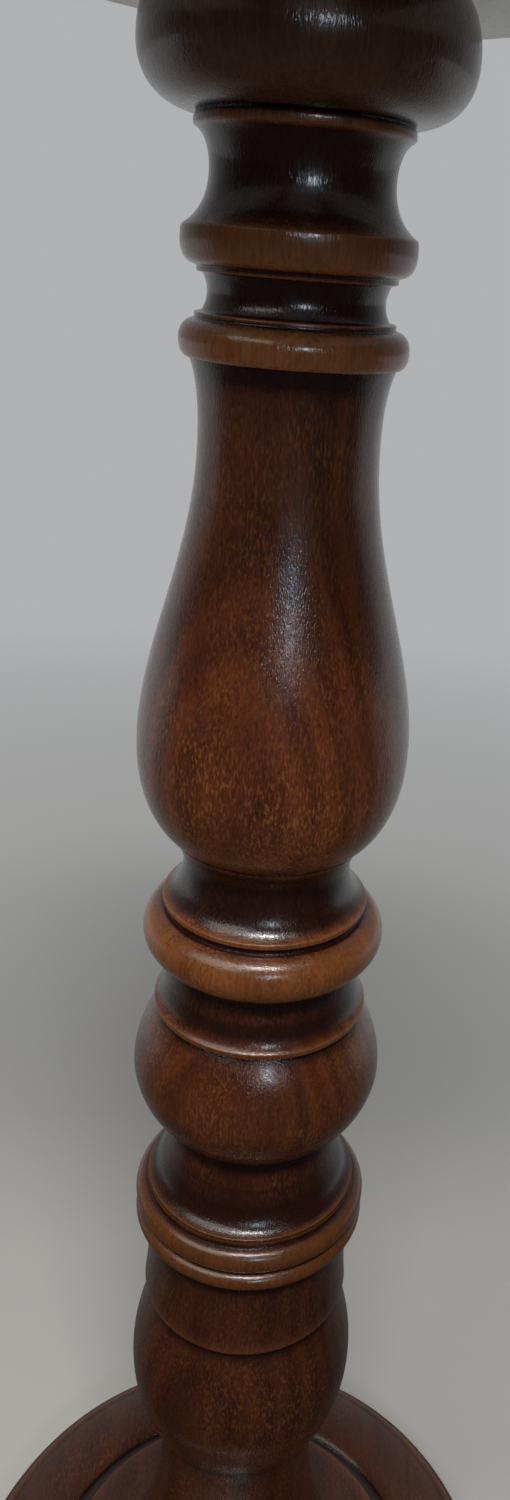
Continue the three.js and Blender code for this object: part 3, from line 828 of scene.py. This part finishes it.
def make_base():
    rim = BASE_RIM_THICKNESS / 2
    outline = Outline(BASE_HOLLOW_RADIUS, 0)
    outline.line(BASE_RADIUS - rim - BASE_RIM_FLAT, 0)
    outline.bead(BASE_RADIUS - rim, rim, 0, BASE_RIM_THICKNESS)
    outline.curve((118, 19.5), (107, 18.5)).curve((99, 17.5), (96, 14.5)).curve((91, 13.5), (88.6, 19.5))
    outline.line(88.6, 22).line(BASE_STEP_RADIUS, BASE_TOP).line(66, BASE_TOP)
    socket = TENON_RADIUS + SOCKET_CLEARANCE
    inside = [
        (socket, BASE_TOP), (socket, BASE_SOCKET_FLOOR), (BORE_RADIUS, BASE_SOCKET_FLOOR),
        (BORE_RADIUS, BASE_RECESS_TOP), (RECESS_RADIUS, BASE_RECESS_TOP),
        (RECESS_RADIUS, BASE_HOLLOW_DEPTH), (BASE_HOLLOW_RADIUS - BASE_HOLLOW_DEPTH, BASE_HOLLOW_DEPTH)]
    points = filled(eased(outline.points))
    turned_piece("base_plate", "base_wood", points, relief_of(points), inside)


def foot_outline(low):
    outline = Outline(63, low).line(63, 27)
    return outline.curve((53, 51), (36.5, 90), (34.8, 135)).curve((34.8, 153), (37, FOOT_TOP))


def lower_bulb_outline(low):
    outline = Outline(38, low).curve((44.5, 169), (48.7, 184), (48.7, 199.5))
    return outline.curve((48.7, 217), (43.6, 229), (40.4, LOWER_BULB_TOP))


def lower_collar_outline(low):
    outline = Outline(43.3, low).line(43.6, 244).curve((41.4, 262), (43.2, 279))
    outline.bead(43.4, 4.1, 280.4, 288.4).bead(42.6, 4.9, 288.8, 299.8)
    return outline.line(42.8, LOWER_COLLAR_TOP)


def ball_outline(low):
    outline = Outline(42.2, low).line(42.6, 303.6)
    outline.curve((38.6, 304.6), (35.4, 309), (34.6, 320)).line(34.6, 334)
    outline.curve((38, 337), (47.6, 345), (48.5, 359.5))
    return outline.curve((48.4, 371), (44, 380), (38.2, BALL_TOP))


def middle_collar_outline(low):
    outline = Outline(40.5, low).line(40.9, 390.2)
    outline.curve((38.2, 392.2), (36.4, 397), (36.4, 405)).line(36.6, 411)
    return outline.bead(37, 8.2, 412, 430.8).line(37, MIDDLE_COLLAR_TOP)


def vase_outline(low):
    outline = Outline(38, low).line(38.2, 435)
    outline.curve((34.6, 436.6), (31.2, 440.4), (30.7, 450))
    outline.curve((31.6, 455.5), (35, 460.3)).line(34.6, 461.2).line(36.2, 461.8)
    outline.curve((43.4, 468.5), (47.9, 480), (47.9, 495))
    outline.curve((47.9, 527), (33.4, 553), (29.9, 587))
    return outline.curve((28.7, 599), (28.6, 615), (32.4, VASE_TOP))


def upper_collar_outline(low):
    outline = Outline(33.8, low).curve((36.4, 625.8), (36.8, 633.2), (32.4, 634.9))
    outline.line(31, 635.3).line(31, 637).line(28.8, 637.4).curve((25.7, 642.8), (28.8, 648))
    outline.line(30.6, 648.2).line(30.6, 649.8).line(31.4, 650.1)
    outline.curve((35.4, 651), (36.2, 655), (35.5, 660.6)).line(34.8, 661.2)
    outline.curve((30.4, 664), (27.6, 669), (27.6, 676)).curve((27.6, 681.5), (29.4, 685.4), (31.8, 686.6))
    return outline.line(32.4, 687).line(32.4, 689).line(31.8, UPPER_COLLAR_TOP)


def capital_outline(low):
    outline = Outline(32, low).curve((41.5, 691), (48.5, 696.5), (48.5, 707))
    return outline.curve((48.5, 716), (45, 724.2), (38, CAPITAL_TOP)).line(32, CAPITAL_TOP)


# Each row is a piece, the heights of the seams below and above it, its lower tenon and its outline.
COLUMN = (
    ("column_foot", BASE_TOP, FOOT_TOP, BASE_TENON_LENGTH, foot_outline),
    ("lower_bulb", FOOT_TOP, LOWER_BULB_TOP, TENON_LENGTH, lower_bulb_outline),
    ("lower_collar", LOWER_BULB_TOP, LOWER_COLLAR_TOP, TENON_LENGTH, lower_collar_outline),
    ("middle_ball", LOWER_COLLAR_TOP, BALL_TOP, TENON_LENGTH, ball_outline),
    ("middle_collar", BALL_TOP, MIDDLE_COLLAR_TOP, TENON_LENGTH, middle_collar_outline),
    ("vase", MIDDLE_COLLAR_TOP, VASE_TOP, TENON_LENGTH, vase_outline),
    ("upper_collar", VASE_TOP, UPPER_COLLAR_TOP, TENON_LENGTH, upper_collar_outline),
    ("capital_bulb", UPPER_COLLAR_TOP, CAPITAL_TOP, TENON_LENGTH, capital_outline),
)


# Relief is worked out over the whole column at once, so that seams under a lip count as hollows and take
# painted shade.
def make_column():
    outsides = [filled(eased(outline(seam + GAP).points)) for _, seam, _, _, outline in COLUMN]
    relief = relief_of([point for points in outsides for point in points])
    done = 0
    for (node, seam, high, tenon_length, _), points in zip(COLUMN, outsides):
        low = seam + GAP
        # The capital takes the darker wood, whose darkness is painted shade and a painted reflection.
        if node == "capital_bulb":
            slot = "capital_wood"
            inside = [
                (BORE_RADIUS, high), (BORE_RADIUS, low - tenon_length),
                (TENON_RADIUS, low - tenon_length), (TENON_RADIUS, low)]
        else:
            slot = "column_wood"
            inside = joint_points(low, high, tenon_length)
        turned_piece(node, slot, points, relief[done:done + len(points)], inside)
        done += len(points)


# ---------------------------------------------------------------- tie rod, nuts and washers

# The outline of a threaded bar, as rings.
def threaded(radius, low, high):
    points = [(0, low), (radius - THREAD_DEPTH, low)]
    turns = int((high - low) / THREAD_PITCH)
    for step in range(turns):
        start = low + step * THREAD_PITCH
        points.append((radius, start + THREAD_PITCH / 2))
        points.append((radius - THREAD_DEPTH, start + THREAD_PITCH))
    return points + [(0, high)]


# A washer, or a nut where it has six segments.
def ring(node, radius, low, high, segments=SMALL_SEGMENTS):
    hole = ROD_RADIUS + GAP
    points = [
        (hole, low), (radius - RING_EDGE, low), (radius, low + RING_EDGE), (radius, high - RING_EDGE),
        (radius - RING_EDGE, high), (hole, high)]
    place(loose(node + "_made", turned_mesh(node, points, segments)), "steel", "pedestal", node)


def make_tie_rod():
    lower_washer = BASE_RECESS_TOP - GAP - WASHER_THICKNESS
    lower_nut = lower_washer - GAP - NUT_THICKNESS
    upper_washer = BLOCK_RECESS_FLOOR + GAP
    upper_nut = upper_washer + WASHER_THICKNESS + GAP
    points = threaded(ROD_RADIUS, lower_nut - ROD_LOWER_END, upper_nut + NUT_THICKNESS)
    rod = turned_mesh("tie_rod", points, SMALL_SEGMENTS)
    place(loose("tie_rod_made", rod), "steel", "pedestal", "tie_rod")
    ring("tie_rod_lower_washer", WASHER_RADIUS, lower_washer, lower_washer + WASHER_THICKNESS)
    ring("tie_rod_upper_washer", WASHER_RADIUS, upper_washer, upper_washer + WASHER_THICKNESS)
    ring("tie_rod_lower_nut", NUT_ACROSS_CORNERS / 2, lower_nut, lower_nut + NUT_THICKNESS, 6)
    ring("tie_rod_upper_nut", NUT_ACROSS_CORNERS / 2, upper_nut, upper_nut + NUT_THICKNESS, 6)


# ---------------------------------------------------------------- block, strike and pivots

# The (Y, Z) points of the block's rounded front, from its top to its bottom.
def half_round(y, z, radius):
    angles = [math.pi / 2 + math.pi * step / HALF_ROUND_STEPS for step in range(HALF_ROUND_STEPS + 1)]
    return [(y + radius * math.cos(a), z + radius * math.sin(a)) for a in angles]


# A cutter for the opening that the bolt slides into.
def bolt_opening(front, rear):
    half_width = BOLT_WIDTH / 2 + POCKET_CLEARANCE
    half_height = BOLT_HEIGHT / 2 + POCKET_CLEARANCE
    return block(
        "cutter", (-half_width, half_width), (front, rear), (PIVOT_Z - half_height, PIVOT_Z + half_height))


def make_block():
    outline = half_round(PIVOT_Y, PIVOT_Z, (BLOCK_TOP - BLOCK_BOTTOM) / 2)
    outline += [(BLOCK_REAR, BLOCK_BOTTOM), (BLOCK_REAR, BLOCK_TOP)]
    face = BLOCK_WIDTH / 2
    piece = prism("tilt_block_made", outline, -face, face)
    cutters = [
        bar("cutter", 2, BORE_RADIUS, BLOCK_BOTTOM - OVERCUT, BLOCK_TOP, (0, 0)),
        bar("cutter", 2, RECESS_RADIUS, BLOCK_RECESS_FLOOR, BLOCK_TOP + OVERCUT, (0, 0)),
        bolt_opening(BLOCK_REAR - POCKET_DEPTH, BLOCK_REAR + OVERCUT)]
    for way in (-1, 1):
        ends = sorted((way * (face - PIVOT_DEPTH), way * (face + OVERCUT)))
        cutters.append(bar("cutter", 0, PIVOT_HOLE_RADIUS, *ends, (PIVOT_Y, PIVOT_Z)))
        cutters.append(bar(
            "cutter", 2, DOWEL_RADIUS + GAP, BLOCK_BOTTOM - OVERCUT, BLOCK_BOTTOM + DOWEL_LENGTH / 2,
            (way * DOWEL_X, 0)))
        cutters.append(bar(
            "cutter", 1, STRIKE_SCREW_RADIUS + GAP, BLOCK_REAR - STRIKE_SCREW_LENGTH, BLOCK_REAR + OVERCUT,
            (way * STRIKE_SCREW_X, PIVOT_Z)))
    place(soften(subtract(piece, cutters), BLOCK_EDGE), "base_wood", "pedestal", "tilt_block")


def make_strike_plate():
    front = BLOCK_REAR + GAP
    rear = front + STRIKE_THICKNESS
    half = STRIKE_LENGTH / 2
    heights = (PIVOT_Z - STRIKE_HEIGHT / 2, PIVOT_Z + STRIKE_HEIGHT / 2)
    plate = block("strike_plate_made", (-half, half), (front, rear), heights)
    cutters = [bolt_opening(front - OVERCUT, rear + OVERCUT)]
    for x in (-STRIKE_SCREW_X, STRIKE_SCREW_X):
        cutters.append(bar(
            "cutter", 1, STRIKE_SCREW_RADIUS + GAP, front - OVERCUT, rear + OVERCUT, (x, PIVOT_Z)))
    place(soften(subtract(plate, cutters), SHEET_EDGE), "brass", "pedestal", "strike_plate")


def make_strike_screw(node, x):
    head = BLOCK_REAR + GAP + STRIKE_THICKNESS + GAP
    top = head + STRIKE_HEAD_THICKNESS
    tip = head - STRIKE_SCREW_LENGTH
    points = [
        (0, top), (STRIKE_CROWN_RADIUS, head + STRIKE_HEAD_THICKNESS * STRIKE_CROWN_SHARE),
        (STRIKE_HEAD_RADIUS, head + STRIKE_HEAD_RIM), (STRIKE_HEAD_RADIUS, head),
        (STRIKE_SCREW_RADIUS, head), (STRIKE_SCREW_RADIUS, tip + STRIKE_SCREW_POINT), (0, tip)]
    mesh = turned_mesh(node, points, SMALL_SEGMENTS)
    turn(mesh, 1)
    mesh.transform(Matrix.Translation(Vector((x, 0, PIVOT_Z)) * MM))
    reach = STRIKE_HEAD_RADIUS + SLOT_OVERRUN
    slot = block(
        "cutter", (x - reach, x + reach), (top - STRIKE_SLOT_DEPTH, top + SLOT_OVERRUN),
        (PIVOT_Z - STRIKE_SLOT_WIDTH / 2, PIVOT_Z + STRIKE_SLOT_WIDTH / 2))
    place(subtract(loose(node + "_made", mesh), [slot]), "brass", "pedestal", node)


def make_pivots():
    for name, way in (("left", -1), ("right", 1)):
        node = "pivot_pin_" + name
        inner = BLOCK_WIDTH / 2 - PIVOT_DEPTH + PIVOT_END_CLEARANCE
        head = BEARER_X + BEARER_WIDTH / 2 + GAP
        outer = head + PIVOT_HEAD_THICKNESS
        points = [
            (0, inner), (PIVOT_RADIUS - PIVOT_END_CHAMFER, inner),
            (PIVOT_RADIUS, inner + PIVOT_END_CHAMFER), (PIVOT_RADIUS, head), (PIVOT_HEAD_RADIUS, head),
            (PIVOT_HEAD_RADIUS, outer - PIVOT_HEAD_CHAMFER),
            (PIVOT_HEAD_RADIUS - PIVOT_HEAD_CHAMFER, outer), (0, outer)]
        mesh = turned_mesh(node, points, SMALL_SEGMENTS)
        turn(mesh, 0)
        if way < 0:
            mesh.transform(Matrix.Rotation(math.pi, 4, "Z"))
        mesh.transform(Matrix.Translation(Vector((0, PIVOT_Y, PIVOT_Z)) * MM))
        place(loose(node + "_made", mesh), "steel", "top", node)


# ---------------------------------------------------------------- top and bearers

# A steel screw that points up, with its slotted head's face at the low height.
def screw_up(node, x, y, low, length):
    head_top = low + SCREW_HEAD_DEPTH
    points = [
        (0, low), (SCREW_HEAD_RADIUS - SCREW_HEAD_CHAMFER, low),
        (SCREW_HEAD_RADIUS, low + SCREW_HEAD_CHAMFER), (SCREW_HEAD_RADIUS, head_top),
        (SCREW_RADIUS, head_top), (SCREW_RADIUS, low + length - SCREW_POINT),
        (SCREW_RADIUS - SCREW_POINT, low + length), (0, low + length)]
    mesh = turned_mesh(node, points, SMALL_SEGMENTS)
    mesh.transform(Matrix.Translation(Vector((x, y, 0)) * MM))
    reach = SCREW_HEAD_RADIUS + SLOT_OVERRUN
    slot = block(
        "cutter", (x - reach, x + reach), (y - SLOT_WIDTH / 2, y + SLOT_WIDTH / 2),
        (low - OVERCUT, low + SLOT_DEPTH))
    place(subtract(loose(node + "_made", mesh), [slot]), "steel", "top", node)


def make_bearer(name, x):
    bottom = BLOCK_TOP - BEARER_HEIGHT
    end = BEARER_HALF_LENGTH
    rear_end = Outline(end - BEARER_END_TAPER, bottom)
    rear_end.curve((end - BEARER_END_ROUND, bottom), (end, BLOCK_TOP - BEARER_END_HEIGHT))
    outline = [(-y, z) for y, z in rear_end.points]
    outline = outline[::-1] + rear_end.points + [(end, BLOCK_TOP), (-end, BLOCK_TOP)]
    left = x - BEARER_WIDTH / 2
    right = x + BEARER_WIDTH / 2
    piece = prism("bearer_" + name + "_made", outline, left, right)
    cutters = [bar("cutter", 0, PIVOT_HOLE_RADIUS, left - OVERCUT, right + OVERCUT, (PIVOT_Y, PIVOT_Z))]
    for y in SCREW_PLACES:
        for radius, high in ((SCREW_RADIUS, BLOCK_TOP + OVERCUT), (SCREW_HEAD_RADIUS, bottom + SCREW_SINK)):
            cutters.append(bar("cutter", 2, radius + GAP, bottom - OVERCUT, high, (x, y)))
    place(soften(subtract(piece, cutters), BEARER_EDGE), "base_wood", "top", "bearer_" + name)
    head = bottom + SCREW_SINK - SCREW_HEAD_DEPTH - GAP
    for index, y in enumerate(SCREW_PLACES):
        screw_up("bearer_%s_screw_%d" % (name, index + 1), x, y, head, SCREW_LENGTH)


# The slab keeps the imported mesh's shape, with its arrises eased round.
def make_top():
    mesh = frame["nodes"]["stone_top"].data.copy()
    piece = loose("stone_top_slab", closed(mesh))
    work = bmesh.new()
    work.from_mesh(mesh)
    angle = math.radians(FLAT_ANGLE)
    bmesh.ops.dissolve_limit(work, angle_limit=angle, verts=work.verts, edges=work.edges)
    work.to_mesh(mesh)
    work.free()
    place(soften(piece, STONE_EDGE), "stone", "top", "stone_top")


# ---------------------------------------------------------------- catch

def make_catch_plate():
    half = PLATE_WIDTH / 2
    plate = block("catch_plate_made", (-half, half), (CATCH_FRONT, CATCH_REAR), (PLATE_BOTTOM, BLOCK_TOP))
    holes = [
        bar("cutter", 2, SCREW_RADIUS + GAP, PLATE_BOTTOM - OVERCUT, BLOCK_TOP + OVERCUT, (x, CATCH_MIDDLE))
        for x in (-CATCH_SCREW_X, CATCH_SCREW_X)]
    place(soften(subtract(plate, holes), BRASS_EDGE), "brass", "top", "catch_plate")
    head = PLATE_BOTTOM - GAP - SCREW_HEAD_DEPTH
    for name, x in (("left", -CATCH_SCREW_X), ("right", CATCH_SCREW_X)):
        screw_up("catch_screw_" + name, x, CATCH_MIDDLE, head, CATCH_SCREW_LENGTH)


def make_catch_case():
    case_top = PLATE_BOTTOM - GAP
    floor = PIVOT_Z - BOLT_HEIGHT / 2 - GAP
    half = CATCH_WIDTH / 2
    stem = PULL_STEM_RADIUS + GAP
    inner = half - CATCH_WALL
    window = BOLT_WIDTH / 2 + GAP
    shell = block(
        "catch_case_made", (-half, half), (CATCH_FRONT, CATCH_REAR), (floor - CATCH_WALL, case_top))
    cutters = [
        block(
            "cutter", (-inner, inner), (CATCH_FRONT + CATCH_WALL, CATCH_REAR - CATCH_WALL),
            (floor, case_top + OVERCUT)),
        block(
            "cutter", (-window, window), (CATCH_FRONT - OVERCUT, CATCH_FRONT + CATCH_WALL + OVERCUT),
            (floor, PIVOT_Z + BOLT_HEIGHT / 2 + GAP)),
        block(
            "cutter", (-stem, stem), (PULL_Y - BOLT_TRAVEL - stem, PULL_Y + stem),
            (floor - CATCH_WALL - OVERCUT, floor + OVERCUT))]
    place(soften(subtract(shell, cutters), SHEET_EDGE), "brass", "top", "catch_case")


def make_bolt():
    low = PIVOT_Z - BOLT_HEIGHT / 2
    high = PIVOT_Z + BOLT_HEIGHT / 2
    nose = BOLT_FRONT + BOLT_CHAMFER
    rear = BOLT_FRONT + BOLT_LENGTH
    outline = [
        (nose, low), (rear, low), (rear, high), (nose, high),
        (BOLT_FRONT, high - BOLT_CHAMFER), (BOLT_FRONT, low + BOLT_CHAMFER)]
    bolt = prism("catch_bolt_made", outline, -BOLT_WIDTH / 2, BOLT_WIDTH / 2)
    hole = bar("cutter", 2, PULL_STEM_RADIUS + GAP, low - OVERCUT, PIVOT_Z, (0, PULL_Y))
    place(soften(subtract(bolt, [hole]), BRASS_EDGE), "brass", "bolt", "catch_bolt")


def make_pull():
    bottom = PIVOT_Z - BOLT_HEIGHT / 2 - PULL_LENGTH
    grip_top = bottom + PULL_GRIP_HEIGHT
    outline = Outline(0, bottom)
    outline.curve((PULL_GRIP_RADIUS, bottom), (PULL_GRIP_RADIUS, bottom + PULL_GRIP_HEIGHT / 2))
    outline.curve((PULL_GRIP_RADIUS, grip_top), (PULL_STEM_RADIUS, grip_top))
    outline.line(PULL_STEM_RADIUS, PIVOT_Z - GAP).line(0, PIVOT_Z - GAP)
    mesh = turned_mesh("catch_pull", outline.points, SMALL_SEGMENTS)
    mesh.transform(Matrix.Translation(Vector((0, PULL_Y, 0)) * MM))
    place(loose("catch_pull_made", mesh), "brass", "bolt", "catch_pull")


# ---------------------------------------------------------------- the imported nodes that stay

def dress_packed_nodes():
    slots = {row["node"]: row["material_slot"] for row in frame["record"]["subparts"]}
    for name, piece in frame["nodes"].items():
        for slot in piece.material_slots:
            slot.material = MATERIALS[slots[name]]


# The default view transform would grey the dark wood.
bpy.context.scene.view_settings.view_transform = "Standard"
make_camera()
make_floor()
make_world()
make_lights()
dress_packed_nodes()
make_base()
make_column()
make_tie_rod()
make_block()
make_strike_plate()
make_strike_screw("strike_screw_left", -STRIKE_SCREW_X)
make_strike_screw("strike_screw_right", STRIKE_SCREW_X)
make_pivots()
make_top()
make_bearer("left", -BEARER_X)
make_bearer("right", BEARER_X)
make_catch_plate()
make_catch_case()
make_bolt()
make_pull()
